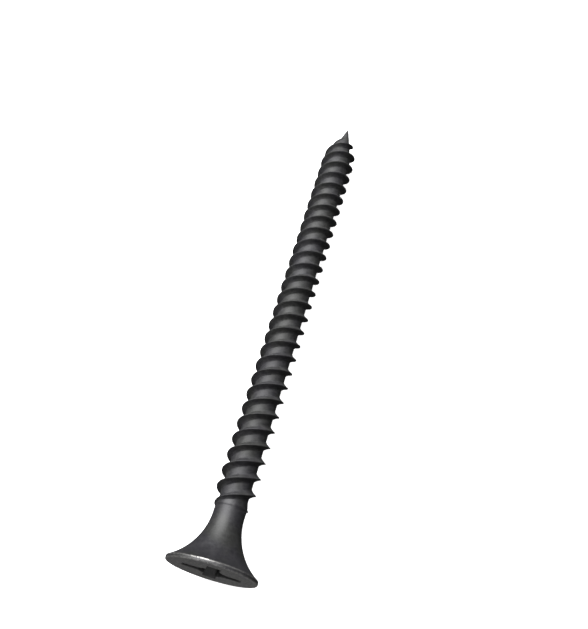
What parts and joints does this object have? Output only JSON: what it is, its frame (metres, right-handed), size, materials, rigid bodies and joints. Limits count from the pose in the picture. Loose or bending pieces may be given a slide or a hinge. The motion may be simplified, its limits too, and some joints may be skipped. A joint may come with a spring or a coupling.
{
  "type": "wood screw",
  "caption": "Black phosphated wood screw with a trumpet-shaped flat head, a cross recess, a fine thread and a sharp point.",
  "frame": {"origin": "centre of the flat head face, on the screw's axis", "axes": "+Y runs along the axis from the head to the tip, the head face looks along -Y, the two wings of the cross recess lie 12 degrees off X and Z, turned about Y so that the wing along +Z leans to +X"},
  "size_m": [0.0085, 0.0535, 0.0084],
  "materials": {
    "phosphated_steel": "charcoal black zinc phosphate with a light oil, satin, slightly mottled, worn lighter on edges and crests"
  },
  "bodies": {
    "root": {"head": "phosphated_steel", "shank": "phosphated_steel", "core": "phosphated_steel", "point": "phosphated_steel", "thread_a": "phosphated_steel", "thread_b": "phosphated_steel"}
  },
  "joints": []
}
